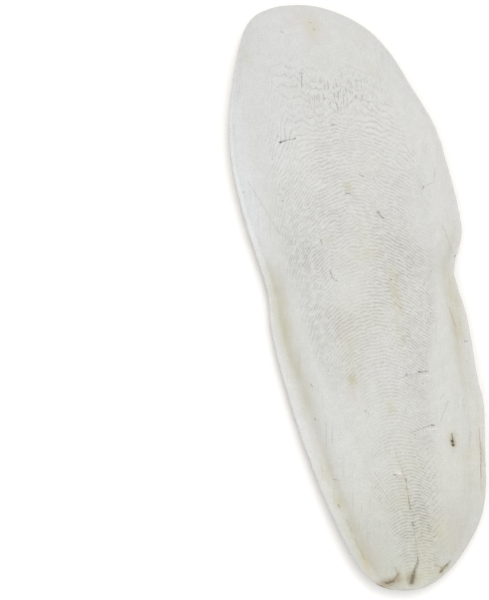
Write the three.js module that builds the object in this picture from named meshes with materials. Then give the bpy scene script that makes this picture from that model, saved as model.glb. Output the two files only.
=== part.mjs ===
// A dry cuttlebone lying on its hard back, modelled as the one solid body it grows as.
// Millimetres. +Y points to the head end, +X to the bone's right, +Z up through the striped belly.
// The origin lies on the resting plane, under the middle of the bone's box.

import * as THREE from "three";

// Driving dimensions
const LENGTH = 200;
const HALF_WIDTH = 35.5; // widest half width, which the crown of the back is tied to
const CROWN = 5.5; // how far the back bows down between its edges at the widest place
const KEEL_RISE = 7.2; // how far the back curves up towards the ends, per half length
const KEEL_POWER = 2.3;
const KEEL_LOW = 5; // where along the bone the back is lowest
const REST_FLAT = 0.3; // how much of the lowest back is worn flat
const RIM = 0.8; // half the thickness of the thin margin
const FLANK_POWER = 3; // a higher power makes a flatter belly with steeper flanks
const FLANK_EASE = 0.9;
const FURROW_WIDTH = 9; // spread of the hollow down the middle of the tail half

// The mesh: rows from the head end to the tail end, and points once around each section
const ROWS = 58;
const AROUND = 48;

// The two edges of the outline as [along Y, out on X], from the head end to the tail end
const LEFT_EDGE = [
  [100, -10], [99, -16.5], [95, -21.5], [85, -26.5], [75, -30.5], [65, -33.5], [50, -35.5], [30, -35],
  [8, -33], [-5, -34.5], [-25, -34], [-50, -31.5], [-75, -27], [-90, -22.5], [-97, -16.5], [-100, -5],
];
const RIGHT_EDGE = [
  [100, -10], [98.5, 0], [94, 9.5], [85, 19.5], [75, 25], [65, 28.5], [50, 33.5], [35, 35],
  [20, 35.5], [12, 34.5], [5, 31], [0, 29.5], [-15, 30.5], [-35, 29.5], [-45, 29.5], [-60, 26.5],
  [-70, 24.5], [-80, 21], [-88, 15], [-95, 7.5], [-99, 0], [-100, -5],
];

// Height of the belly's middle line over the margin, as [along Y, height]
const BELLY = [
  [100, 0], [95, 5.5], [88, 8.6], [75, 11.6], [55, 14.2], [30, 15.2], [5, 14.4],
  [-20, 12.4], [-45, 9.6], [-65, 7], [-82, 4.6], [-93, 2.6], [-100, 0],
];
// Width of the thin flange outside the swelling, as [along Y, width]
const FLANGE = [[100, 1], [60, 1.2], [20, 2], [-20, 4], [-60, 5], [-85, 4], [-100, 1]];
// Depth of the hollow down the middle, as [along Y, depth]
const FURROW = [[100, 0], [0, 0], [-30, 0.4], [-60, 1.6], [-80, 2], [-95, 0.8], [-100, 0]];

// The angle that counts 0 at the head end and half a turn at the tail end, as round the rim of an ellipse
function angleAt(y) {
  return Math.acos(THREE.MathUtils.clamp((2 * y) / LENGTH, -1, 1));
}

// A list of [along Y, value] turned into knots over that angle, each with the slope a smooth curve has there
function knotsOf(list) {
  const knots = list.map(([y, value]) => ({ angle: angleAt(y), value }));
  const last = knots.length - 1;
  knots.forEach((knot, i) => {
    const before = knots[Math.max(i - 1, 0)];
    const after = knots[Math.min(i + 1, last)];
    knot.slope = (after.value - before.value) / (after.angle - before.angle);
  });
  return knots;
}

// The value of the smooth curve through the knots: a cubic between each pair, with their slopes
function valueAt(knots, angle) {
  const last = knots.length - 2;
  const found = knots.findIndex((knot) => knot.angle > angle) - 1;
  const i = found < 0 ? last : Math.min(found, last);
  const a = knots[i];
  const b = knots[i + 1];
  const span = b.angle - a.angle;
  const u = (angle - a.angle) / span;
  const rise = u * u * (3 - 2 * u);
  const fromA = u * (1 - u) * (1 - u) * span * a.slope;
  const fromB = u * u * (u - 1) * span * b.slope;
  return a.value + (b.value - a.value) * rise + fromA + fromB;
}

const left = knotsOf(LEFT_EDGE);
const right = knotsOf(RIGHT_EDGE);
const belly = knotsOf(BELLY);
const flange = knotsOf(FLANGE);
const furrow = knotsOf(FURROW);

// Everything about one station along the bone that its section is worked out from
function stationAt(angle) {
  const y = (LENGTH / 2) * Math.cos(angle);
  const from = valueAt(left, angle);
  const to = valueAt(right, angle);
  const half = (to - from) / 2;
  const keel = KEEL_RISE * Math.abs((2 * (y - KEEL_LOW)) / LENGTH) ** KEEL_POWER;
  const crown = CROWN * (half / HALF_WIDTH) ** 2;
  return {
    y,
    middle: (from + to) / 2,
    half,
    crown,
    margin: keel + crown + RIM, // height of the margin's middle plane
    belly: valueAt(belly, angle),
    flange: valueAt(flange, angle),
    furrow: valueAt(furrow, angle),
  };
}

// Half the thickness of the margin, rounded off over its last RIM millimetres
function rimAt(inward) {
  const short = 1 - Math.min(inward / RIM, 1);
  return RIM * Math.sqrt(1 - short * short);
}

// Height of the belly: the rim, and inside the flange a swelling with steep flanks and a hollowed middle
function bellyHeight(station, across) {
  const inward = station.half * (1 - Math.abs(across));
  const room = Math.max(station.half - station.flange, 1e-6);
  const reach = THREE.MathUtils.clamp((inward - station.flange) / room, 0, 1);
  const swelling = (1 - (1 - reach) ** FLANK_POWER) ** FLANK_EASE;
  const offMiddle = (station.half * across) / FURROW_WIDTH;
  const hollow = station.furrow * swelling * Math.exp((-offMiddle * offMiddle) / 2);
  return station.margin + rimAt(inward) + station.belly * swelling - hollow;
}

// Height of the back: the margin's underside bowed down as a parabola, with the lowest part cut flat
function backHeight(station, across) {
  const inward = station.half * (1 - Math.abs(across));
  const bow = station.crown * (1 - across * across);
  return Math.max(station.margin - rimAt(inward) - bow, REST_FLAT);
}

// One ring of points around a section: over the belly from the right edge to the left, and back underneath
function ringAt(angle) {
  const station = stationAt(angle);
  const ring = [];
  for (let step = 0; step < AROUND; step += 1) {
    const turn = (2 * Math.PI * step) / AROUND;
    const across = Math.cos(turn);
    const height = step * 2 <= AROUND ? bellyHeight(station, across) : backHeight(station, across);
    const onEdge = step === 0 || step * 2 === AROUND;
    const z = (onEdge ? station.margin : height) - REST_FLAT;
    ring.push(new THREE.Vector3(station.middle + station.half * across, station.y, z));
  }
  return ring;
}

// The point that closes an end of the bone
function tipAt(angle) {
  const station = stationAt(angle);
  return new THREE.Vector3(station.middle, station.y, station.margin - REST_FLAT);
}

// The closed surface: a fan at each end and two triangles for each cell between neighbouring rings
function makeBoneGeometry() {
  const points = [tipAt(0)];
  for (let row = 1; row < ROWS; row += 1) {
    points.push(...ringAt((Math.PI * row) / ROWS));
  }
  points.push(tipAt(Math.PI));

  const ringStart = (row) => 1 + (row - 1) * AROUND;
  const faces = [];
  const tail = points.length - 1;
  for (let step = 0; step < AROUND; step += 1) {
    const next = (step + 1) % AROUND;
    faces.push(0, ringStart(1) + next, ringStart(1) + step);
    faces.push(tail, ringStart(ROWS - 1) + step, ringStart(ROWS - 1) + next);
    for (let row = 1; row < ROWS - 1; row += 1) {
      const near = ringStart(row);
      const far = ringStart(row + 1);
      faces.push(near + step, near + next, far + next);
      faces.push(near + step, far + next, far + step);
    }
  }
  const geometry = new THREE.BufferGeometry().setFromPoints(points);
  geometry.setIndex(faces);
  geometry.computeVertexNormals();
  return geometry;
}

const chalk = new THREE.MeshStandardMaterial({ color: 0xd6d5cf, roughness: 0.92, metalness: 0 });

const bone = new THREE.Mesh(makeBoneGeometry(), chalk);
bone.name = "cuttlebone";

const part = new THREE.Group();
part.add(bone);

export default part;
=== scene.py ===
"""A dry cuttlebone lying belly up on a pale floor.

The bone is one closed grid of points, worked out with numpy. Every place on it is drawn in
millimetres on a bone 200 mm long and brought to the frame's size by one factor, DRAWN.
+Y points to the head end, +X to the bone's right and +Z up out of the striped belly.
"""

import math

import bpy
import numpy as np
from bpy.props import FloatProperty, FloatVectorProperty, PointerProperty
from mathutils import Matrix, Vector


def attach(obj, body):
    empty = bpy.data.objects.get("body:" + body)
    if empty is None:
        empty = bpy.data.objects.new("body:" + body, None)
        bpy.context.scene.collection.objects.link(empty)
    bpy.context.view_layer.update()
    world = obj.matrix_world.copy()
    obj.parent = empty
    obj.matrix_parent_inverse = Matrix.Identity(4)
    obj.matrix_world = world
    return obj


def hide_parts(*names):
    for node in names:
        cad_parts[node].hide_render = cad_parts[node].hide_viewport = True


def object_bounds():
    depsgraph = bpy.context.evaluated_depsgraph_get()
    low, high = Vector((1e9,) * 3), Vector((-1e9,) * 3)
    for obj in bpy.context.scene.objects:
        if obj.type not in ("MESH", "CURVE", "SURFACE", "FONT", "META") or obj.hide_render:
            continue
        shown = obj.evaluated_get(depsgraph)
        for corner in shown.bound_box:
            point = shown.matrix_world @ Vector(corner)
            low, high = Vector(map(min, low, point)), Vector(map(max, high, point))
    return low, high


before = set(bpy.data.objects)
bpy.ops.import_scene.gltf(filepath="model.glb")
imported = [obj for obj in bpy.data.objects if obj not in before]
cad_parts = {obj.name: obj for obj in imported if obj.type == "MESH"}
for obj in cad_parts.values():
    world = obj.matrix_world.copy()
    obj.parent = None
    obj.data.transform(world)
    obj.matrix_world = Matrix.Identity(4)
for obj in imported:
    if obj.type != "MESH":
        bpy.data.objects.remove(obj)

CAD_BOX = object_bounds()

bl_info = {
    "name": "Cuttlebone",
    "version": (1, 0, 0),
    "blender": (4, 5, 0),
    "location": "View3D > Sidebar > Cuttlebone",
    "description": "Builds a dry cuttlebone with its growth lines and stains, and a pale stage for it",
    "category": "Add Mesh",
}

NODE, BODY, SLOT = "cuttlebone", "root", "chalky_bone"
DRAWN_LENGTH = 200.0
DRAWN = (CAD_BOX[1][1] - CAD_BOX[0][1]) / DRAWN_LENGTH  # metres for one drawn millimetre

# ---------------------------------------------------------------- the camera, in drawn mm

CAMERA_AIM = (-41.1, 6.7)  # the place straight under the camera
CAMERA_TURN = -12.5  # degrees
VIEW_HEIGHT = 200.6  # what the view takes in at SEEN_LEVEL
SEEN_LEVEL = 7.0  # about the height of the bone's margin
LENS = 100.0
SENSOR = 36.0

# ---------------------------------------------------------------- the stage, in metres

FLOOR_SIDE = 3.0
FLOOR_COLOUR = (0.97, 0.97, 0.97, 1)
KEY_SIZE = 0.9
KEY_PLACE = (0.27, 0.64, 1.85)

# ---------------------------------------------------------------- the bone's plain shape, in drawn mm

HALF_WIDTH = 35.5
CROWN = 5.5  # how far the back bows down between its edges at the widest place
KEEL_RISE = 7.2  # how far the back curves up towards the ends, per half length
KEEL_POWER = 2.3
KEEL_LOW = 5.0  # where along the bone the back is lowest
REST_FLAT = 0.3
RIM = 0.8  # half the thickness of the thin margin
FLANK_POWER = 3.0
FLANK_EASE = 0.9
FURROW_WIDTH = 9.0

# The two edges of the outline as (along Y, out on X), from the head end to the tail end
LEFT_EDGE = (
    (100, -10), (99, -16.5), (95, -21.5), (85, -26.5), (75, -30.5), (65, -33.5), (50, -35.5), (30, -35),
    (8, -33), (-5, -34.5), (-25, -34), (-50, -31.5), (-75, -27), (-90, -22.5), (-97, -16.5), (-100, -5),
)
RIGHT_EDGE = (
    (100, -10), (98.5, 0), (94, 9.5), (85, 19.5), (75, 25), (65, 28.5), (50, 33.5), (35, 35),
    (20, 35.5), (12, 34.5), (5, 31), (0, 29.5), (-15, 30.5), (-35, 29.5), (-45, 29.5), (-60, 26.5),
    (-70, 24.5), (-80, 21), (-88, 15), (-95, 7.5), (-99, 0), (-100, -5),
)
# Heights and widths along the bone, as (along Y, value)
BELLY = (
    (100, 0), (95, 5.5), (88, 8.6), (75, 11.6), (55, 14.2), (30, 15.2), (5, 14.4),
    (-20, 12.4), (-45, 9.6), (-65, 7), (-82, 4.6), (-93, 2.6), (-100, 0),
)
FLANGE = ((100, 1), (60, 1.2), (20, 2), (-20, 4), (-60, 5), (-85, 4), (-100, 1))
FURROW = ((100, 0), (0, 0), (-30, 0.4), (-60, 1.6), (-80, 2), (-95, 0.8), (-100, 0))

# ---------------------------------------------------------------- the fine relief, in drawn mm

ROWS, BELLY_COLUMNS, BACK_COLUMNS = 880, 88, 22
ROW_SPACING = ((100, 0.2), (97, 0.4), (80, 0.3), (54, 0.165), (-94, 0.165), (-100, 0.12))
SWEEP = (
    (100, 0), (85, 9), (57, 22), (20, 27), (-20, 25), (-60, 17), (-80, 11), (-92, 4.5), (-97, 1.6), (-100, 0),
)

# Growth lines on the belly: the middle line they cross, how far apart they are, and how they bend back
CREST_X = ((100, -2), (40, -2.4), (0, -3.3), (-80, -3.4), (-100, -4.4))
LINE_PITCH = (
    (100, 5), (80, 4), (68, 3.2), (58, 2), (50, 1.35), (30, 1.25), (-58, 1.24), (-70, 1.12), (-100, 1.05),
)
# How far a line falls on its way out from the middle line, as (out on X, fall), halfway up and in the tail
LINE_FALL = (
    (-36, 74), (-29, 44), (-25, 28.5), (-21, 17.6), (-18, 11.6), (-15, 7.2), (-12, 4.2), (-9, 2.1), (-6, 0.9),
    (-3, 0.2), (0, 0), (3, 0.2), (6, 1.1), (9, 3), (12, 5.5), (16, 8.9), (20, 12.4), (25, 17.5), (36, 33),
)
TAIL_FALL = (
    (-36, 56), (-25, 30), (-20, 20), (-16, 13), (-12, 7.2), (-9, 4), (-6, 1.6), (-3, 0.3), (0, 0), (3, 0.5),
    (6, 2.1), (9, 4.7), (12, 8), (16, 12.8), (20, 18.5), (36, 46),
)
LINE_DRIFT = ((100, 0.3), (64, 0.5), (52, 1), (12, 1.1), (-4, 0.5), (-40, 0.28), (-100, 0.15))
LINE_RIPPLE = ((100, 0.15), (60, 0.32), (45, 0.46), (10, 0.46), (-20, 0.3), (-60, 0.2), (-100, 0.16))
LINES_LEFT = (
    (100, -12), (74, -22.5), (58, -23.6), (42, -25.4), (25, -26), (8, -25), (0, -24.5), (-20, -22),
    (-50, -16.5), (-60, -15), (-80, -11.5), (-100, -8.5),
)
LINES_RIGHT = (
    (100, 5), (72, 16), (50, 22.5), (35, 26), (20, 24.5), (0, 23), (-12, 19.8), (-25, 16), (-50, 11),
    (-60, 9.6), (-70, 8.8), (-85, 8.2), (-93, 4.6), (-100, 1.8),
)
LINES_SEEN = (
    (100, 0), (88, 0.05), (80, 0.6), (62, 0.85), (50, 0.8), (30, 0.95), (-90, 1), (-97, 0.6), (-100, 0),
)
# Patches where the lines are worn, where they are bold and where they are broken into beads, as
# (out on X, along Y, reach across, reach along, strength)
WORN_PATCHES = (
    (-13, -43, 6, 10, 0.7), (16, -50, 3, 14, 0.8), (-8, 4, 7, 4, 0.5), (20, 20, 3, 7, 0.6),
)
BOLD_PATCHES = (
    (11, -4, 6, 22, 0.1), (3, -79, 5, 9, 0.6), (6.6, -62, 3, 9, 0.4), (8.5, -34, 3, 4.5, 0.4),
    (-18, 5, 5, 18, 0.55), (-2, -60, 7, 8, 0.2), (13, 8, 6, 14, 0.3), (7.5, -52, 3, 4, 0.3),
)
BROKEN_PATCHES = (
    (8.4, -63, 3.2, 9, 1), (7.6, -81, 2.4, 7, 1), (-9.5, -60, 3, 4, 0.8), (3.2, -19, 1.8, 8, 1),
)
GROOVE_REACH = 0.3  # from the middle of a groove to where it is half as deep
RAGGED = 0.13  # how far the edge is worn in and out
WAVES, RIPPLES, STREAKS = 0.22, 0.05, 0.05  # heights of the belly's broad and small waves and its streaks
RIDGE, TROUGH = 0.45, 0.3  # height and depth down the middle of the back
BACK_LINES, BACK_WAVES = 0.05, 0.16

# The head part's growth lines run up over two lobes instead, as (out on X, fall from the highest)
HEAD_LOBES = (
    (-30, 30), (-22, 19), (-19.5, 12), (-17.8, 5.5), (-16.2, 1.2), (-14, 0), (-11, 1.4), (-7, 4), (-2, 8),
    (2.5, 11.3), (5.5, 10.9), (8.6, 10), (11.5, 11.2), (16, 14.2), (24, 22), (34, 34),
)

# Below two cracks the lines run steeper, as (left side on X, top, foot)
FLAKES = ((4, -29, -43), (3.5, -47.5, -59))
FLAKE_FALL = 2.4  # how much further a line falls on the right side of a flake
FLAKE_WIDTH = 8.0
FLAKE_TOP, FLAKE_FOOT = 1.4, 5.0  # the room that the extra fall takes to come and to go
BACK_PITCH = 2.1  # between the growth lines of the back

# The shallow groove between the flange and the swelling: how far inside the edge, and how deep
EDGE_GROOVE_SPREAD = 1.3
TAN_SPREAD = 1.8
LEFT_GROOVE = (
    (100, 5), (20, 3.3), (6, 3.2), (-2, 4.2), (-20, 5), (-40, 5.6), (-56, 4), (-70, 4), (-86, 3.2), (-100, 3),
)
LEFT_GROOVE_DEPTH = ((24, 0), (10, 0.5), (-20, 0.6), (-60, 0.45), (-86, 0.4), (-93, 0))
RIGHT_GROOVE = (
    (100, 4), (12, 3.6), (2, 2.6), (-6, 2.6), (-14, 4.8), (-34, 4.2), (-56, 2), (-68, 1.2), (-100, 1),
)
RIGHT_GROOVE_DEPTH = ((18, 0), (10, 0.35), (-6, 0.45), (-30, 0.4), (-50, 0.2), (-72, 0.15), (-80, 0))

# The crack down the tail half, as (along Y, out on X), with its spread and depth along the way. This and
# the scars, stains and marks below are places seen against SEEN_LEVEL, which on_belly moves to the belly.
CRACK = (
    (-50, -3.2), (-52, -3), (-58, -2.5), (-63.7, -1.5), (-70, -2), (-74.3, -1.8), (-79, -2.3), (-83, -2.5),
    (-87, -2.8), (-90, -3.1), (-92, -3.8), (-93.6, -4.8), (-95.5, -5.9), (-98.2, -7.2),
)
CRACK_SPREAD = ((-48, 0.35), (-88, 0.35), (-91, 0.4), (-94, 0.55), (-98.6, 0.7))
CRACK_DEPTH = (
    (-50, 0), (-54, 0.12), (-60, 0.1), (-66, 0.2), (-78, 0.22), (-86, 0.18), (-90, 0.35), (-94, 0.9),
    (-97.4, 1.2), (-98.7, 0),
)

# Larger scars cut into the belly, as (from x, y, to x, y, spread, depth); a negative depth is a lump
SCARS = {
    "insect hole": (16.9, -52.3, 16.5, -55.9, 0.5, 0.45),
    "loose flake": (-4, -60.6, -2.6, -62, 0.8, -0.3),
    "tail scar": (-15.7, -95.9, -12.8, -95.9, 0.6, 0.4),
    "tail scar's branch": (-12.6, -95.6, -10.6, -93.8, 0.4, 0.25),
    "tail chip": (3, -96.4, 5.8, -94.4, 0.35, 0.45),
    "tail chip's end": (5.8, -94.4, 7.4, -93.4, 0.3, 0.3),
    "low crack": (2, -30.1, 13.6, -29.8, 0.4, 0.14),
    "lower crack": (4, -48.5, 12, -47.9, 0.4, 0.16),
    "edge of a flake": (20, -40, 16, -43, 0.6, 0.12),
    "end of the flake": (16, -43, 13.8, -47, 0.6, 0.12),
    "right margin line": (25.4, -57, 22.6, -73, 0.4, 0.2),
    "side nick": (25.1, 29.8, 26.2, 31.3, 0.5, 0.2),
    "flank hairline": (-31.6, 45.8, -25, 26, 0.35, 0.08),
}

# ---------------------------------------------------------------- colour, in drawn mm and shares

# How far the chalk has aged to cream, and how far its left flank is cooler and bright: partly its own bluish
# tone, partly painted light where the flank slopes away from the key
AGED = (
    (100, 0), (60, 0.04), (30, 0.15), (0, 0.2), (-30, 0.18), (-55, 0.38), (-70, 0.6), (-82, 0.8), (-92, 1),
)
FLANK_COOL_AND_LIT = ((92, 0), (72, 0.7), (40, 1), (20, 0.8), (6, 0.5), (-40, 0.5), (-90, 0.4), (-96, 0))
GREYED_AND_SHADED = ((100, 1), (80, 0.75), (64, 0.55), (46, 0))  # how far the head part is darkened: partly its own grey, partly painted shade where its slopes face the light
COOL_AND_LIT_REACH = ((100, 11), (20, 11), (6, 4), (-100, 4))
# Ochre dirt in the two edge grooves
LEFT_TAN = (
    (26, 0), (14, 0.26), (6, 0.46), (-8, 0.4), (-22, 0.42), (-30, 0.3), (-42, 0.08), (-54, 0.26), (-62, 0.36),
    (-74, 0.36), (-80, 0.6), (-87, 0.75), (-92, 0.3), (-95, 0),
)
RIGHT_TAN = (
    (22, 0), (10, 0.2), (-2, 0.46), (-15, 0.62), (-21, 0.34), (-30, 0.2), (-50, 0.1), (-60, 0.2), (-72, 0.12),
    (-80, 0),
)

GREYING_AND_SHADE = (0.92, 0.925, 0.93)  # what the greyer and painted-shade chalk is multiplied by
DULL_GRAIN, BRIGHT_GRAIN = (0.9, 0.9, 0.89, 1), (1.07, 1.07, 1.07, 1)  # and the grain's low and high
# How the growth lines waver, break into dashes and break into beads; turns are in radians
WAVER_SCALE, WAVER = 0.8, 0.4
DASH_SCALE = 0.62
BEAD_TURN = 6.1  # for each drawn mm across
BEAD_WAVER = 5.0
BEAD_SHIFT = 2.4  # from each line to the next
# Strengths of the streaks on the flank, of all scratches and of the specks
FLANK_STREAKS, SCRATCHES, SPECKS = 0.4, 0.5, 0.45
MARK_PUSH = (0.9, 0.9, 0)  # how far a noise pushes the marks about, so that they aren't straight
# Heights of the bump, in drawn mm: the belly's, then the back's
GRAIN_BUMP, LINE_BUMP, STREAK_BUMP, STROKE_BUMP = 0.07, 0.08, 0.05, 0.1
BACK_GRAIN_BUMP, BACK_LINE_BUMP, PIMPLE_BUMP = 0.05, 0.06, 0.16
# Colours of dirt and marks, and of the painted shadows and highlights at cracks and chips
TINTS = {
    "tan": (0.495, 0.47, 0.305), "pink": (0.53, 0.475, 0.43), "brown": (0.27, 0.18, 0.085),
    "soot_and_shadow": (0.05, 0.038, 0.024), "rust": (0.24, 0.17, 0.09), "highlight": (0.74, 0.73, 0.71),
}

# Soft stains, as (out on X, along Y, reach across, reach along, strength)
STAINS = {
    "tan": (
        (1, 90.5, 1.7, 2.6, 0.42), (-0.8, 92.6, 0.8, 1.2, 0.2), (9.4, 4.6, 1.3, 1.7, 0.36),
        (8.3, -1.5, 1.2, 3, 0.4), (9, -7, 1.2, 2.4, 0.26), (-11.6, -27.3, 1.2, 1.6, 0.55),
        (20.5, -60, 2.8, 2, 0.24), (20, -68, 2.4, 4, 0.15), (16.8, -54, 1.2, 2.2, 0.45),
        (6.4, -83, 1.8, 3, 0.3), (8.6, -89.5, 1.2, 1.8, 0.25), (-2.1, -68, 0.9, 5, 0.3),
        (-25.4, -66.4, 1, 1.2, 0.55), (-6, -96.4, 8, 2, 0.35), (-1.6, -87, 1.4, 3, 0.2),
        (3.6, -95.8, 2.2, 1.2, 0.35), (0.7, 36.6, 0.7, 1.1, 0.5), (-9.2, 20.2, 1.6, 0.9, 0.2),
        (2, 20, 1.7, 2.6, 0.2), (2, 12.4, 4, 1.8, 0.24), (-23, 86.4, 1, 2.6, 0.2),
        (16, 84, 2, 2, 0.16), (17.4, 72, 2, 2.4, 0.16), (-4, -8, 6, 6, 0.12), (-1.2, -39, 1, 1.8, 0.3),
        (-10.5, -16, 1.8, 7, 0.24), (7, -17, 1, 4, 0.2), (-6, -70, 2.4, 2.4, 0.16),
        (3, -60, 4, 2.4, 0.14), (0.4, -84, 2, 6, 0.15),
    ),
    "pink": (
        (-3, 95, 3, 1.8, 0.3), (0.9, 90.3, 1.8, 2.6, 0.3), (-12.4, -31.6, 0.8, 2.2, 0.45),
        (-18.4, -84, 2.2, 2.8, 0.5), (-19, -90, 2, 2.4, 0.45), (11.2, -84, 2, 4.4, 0.5),
        (2.6, -93.6, 1, 0.7, 0.8), (-3, -62.4, 0.9, 0.7, 0.5), (6, -78, 2, 1.6, 0.3),
    ),
    "brown": (
        (-11.7, -26.9, 0.9, 0.9, 0.2), (25.3, -16.6, 0.5, 3.4, 0.16), (25.4, -60, 0.4, 4, 0.2),
        (-15, -95.7, 2.3, 0.8, 0.65), (-12.2, -95.6, 1.3, 0.8, 0.55), (-10.7, -94, 0.6, 1.1, 0.42),
        (-6.4, -96, 1.1, 1.7, 0.45), (-7.8, -96.2, 0.5, 1.2, 0.4), (16.7, -54.4, 0.6, 1.6, 0.55),
        (-15.4, -97.1, 2.6, 0.6, 0.45), (3.8, -96, 0.5, 0.9, 0.5), (5.4, -95, 0.9, 0.5, 0.35),
    ),
}

# Fine marks, as (from x, y, to x, y, half width, strength). The dark ones along the two cracks, at the loose
# flake, the tail chip and the side nick are painted shadow on the walls turned from the light; the pale ones
# are painted highlight
MARKS = {
    "soot_and_shadow": (
        (-18.1, 55.6, -17.7, 55.6, 0.3, 0.75), (-17.5, 55.7, -15.8, 55.8, 0.24, 0.3),
        (-15.8, 55.8, -13, 55.8, 0.16, 0.45), (-13, 55.8, -12.8, 55.8, 0.22, 0.6),
        (8.6, 26, 10.2, 23.2, 0.2, 0.5), (-11.1, 10.2, -10.9, 8, 0.16, 0.42),
        (-10.9, 8, -10.4, 6.9, 0.18, 0.46), (-9.7, 6.4, -9.5, 6.4, 0.22, 0.5),
        (-0.3, 34.4, 1.1, 33.7, 0.2, 0.5), (5.3, 39.4, 6.6, 38.5, 0.18, 0.35),
        (9.8, 37.3, 10.3, 35.2, 0.15, 0.22), (-11.9, 21, -11.8, 19.5, 0.22, 0.42),
        (25.1, 29.9, 25.5, 31, 0.2, 0.4), (25.5, 31, 29, 31.2, 0.16, 0.22),
        (29, 31.2, 30.5, 36, 0.15, 0.18), (30.7, 5.8, 30.9, 5.8, 0.3, 0.4),
        (-33.7, 42, -33.5, 42, 0.25, 0.3), (-9.6, 91.4, -9.4, 91.3, 0.26, 0.35),
        (-25.5, -25.7, -25.2, -26.3, 0.25, 0.35), (27.8, -22.7, 28.5, -23, 0.25, 0.3),
        (-26.8, -37.2, -26.6, -37.4, 0.26, 0.35), (-9.7, -38.2, -9.5, -38.5, 0.26, 0.35),
        (-8.9, -39.2, -8.7, -39.2, 0.22, 0.3), (-25.2, -58.2, -23.2, -59.1, 0.18, 0.25),
        (-23.6, -72.6, -22.7, -77.1, 0.4, 0.12), (-22.3, -79.3, -20.6, -86.9, 0.35, 0.12),
        (2.6, -30.1, 11, -29.5, 0.16, 0.16), (10.5, -29.4, 11.3, -29.5, 0.32, 0.5),
        (11.1, -29.5, 13.8, -29.8, 0.2, 0.25), (12.5, -29.5, 12.9, -29.6, 0.3, 0.45),
        (6.2, -29.3, 6.6, -29.6, 0.3, 0.35), (4, -48.6, 9.2, -47.8, 0.18, 0.25),
        (9.2, -47.7, 12, -47.9, 0.22, 0.3), (10.7, -47.7, 11.5, -47.8, 0.32, 0.5),
        (4.7, -49.7, 4.9, -49.7, 0.2, 0.3), (14.2, -46.6, 18, -41.2, 0.3, 0.12),
        (15.4, -39.9, 17, -38.4, 0.25, 0.14), (-6.2, 76, -7.1, 72, 0.17, 0.4),
        (-6.7, 76.6, -5.6, 76.4, 0.15, 0.26), (3, 64.8, 3.2, 61.8, 0.18, 0.25),
        (0.1, 57.7, 0.6, 57.2, 0.28, 0.25), (12.3, 15, 15.5, 11, 0.18, 0.18),
        (-31.6, 45.8, -28.1, 35.6, 0.15, 0.14), (-28.1, 35.6, -25, 26, 0.15, 0.16),
        (16.9, -52, 16.8, -53.6, 0.26, 0.6), (16.5, -54.3, 16.5, -54.6, 0.55, 0.88),
        (16.4, -55.6, 16.5, -55.8, 0.5, 0.88), (-2.8, -53.8, -1.6, -62.8, 0.15, 0.14),
        (-1.5, -63.4, -1.4, -64, 0.28, 0.5), (-1.7, -65.6, -1.8, -67.2, 0.2, 0.35),
        (-1.6, -64.3, -1.9, -69.4, 0.14, 0.12), (-1.9, -69.6, -2, -74, 0.18, 0.42),
        (-2.3, -78.4, -2.3, -79.2, 0.28, 0.5), (-2.3, -80.2, -3, -89.5, 0.14, 0.16),
        (-2.8, -83.2, -3.6, -89.3, 0.13, 0.12), (-4.9, -61.1, -4.6, -61.3, 0.26, 0.45),
        (-4.1, -61.9, -3.9, -62, 0.26, 0.35), (-25.4, -67, -25, -67.8, 0.3, 0.36),
        (-15.4, -96, -12.8, -96, 0.4, 0.5), (-12.8, -95.8, -10.7, -94, 0.24, 0.4),
        (-10.7, -94, -11.3, -92.4, 0.18, 0.3), (-11.4, -91.6, -11.2, -91.8, 0.25, 0.3),
        (-3.1, -89.8, -3.5, -91.6, 0.22, 0.45), (-3.5, -91.6, -4.8, -93.4, 0.4, 0.3),
        (-4.9, -93.5, -5.9, -95.5, 0.4, 0.45), (-5.9, -95.5, -7, -97.8, 0.6, 0.5),
        (3.1, -96.3, 5.9, -94.3, 0.26, 0.5), (5.9, -94.3, 7.4, -93.4, 0.2, 0.35),
        (-18.5, -95.6, -16.4, -97.3, 0.24, 0.6), (-16.4, -97.3, -13.8, -98.6, 0.22, 0.55),
    ),
    "rust": (
        (26.2, -52, 25.1, -60, 0.18, 0.36), (25.1, -60, 23.2, -68.4, 0.2, 0.5),
        (23.2, -68.4, 22.3, -73, 0.16, 0.22), (-17.5, 55.8, -15.8, 55.9, 0.24, 0.3),
        (28.8, 16.5, 30.4, 7, 0.16, 0.28), (25.1, -10.5, 26, -17.5, 0.18, 0.34),
        (7.4, -4.6, 9.4, -7.4, 0.16, 0.35), (8.2, -2.2, 9.6, -3.8, 0.15, 0.28),
        (8, 0.4, 9.4, -1.6, 0.15, 0.28), (9.6, 4.6, 10.8, 3.2, 0.15, 0.22),
        (1.8, -93.4, 3.9, -94.8, 0.26, 0.32), (0.2, 92.6, 0.6, 92.3, 0.25, 0.3),
        (1, 90.2, 1.4, 89.8, 0.25, 0.25),
    ),
    # Painted highlights on the sides of the cracks, the loose flake and the tail chip that face the light
    "painted highlights": (
        (-4, -60.5, -3.6, -60.9, 0.6, 0.35), (-3, -60.4, -2.8, -61.2, 0.45, 0.4),
        (4.4, -96.9, 7.4, -94.6, 0.35, 0.25), (11.2, -30.8, 13.4, -31.2, 0.3, 0.35),
        (9.4, -48.9, 12.6, -49.2, 0.3, 0.35),
    ),
}


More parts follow.
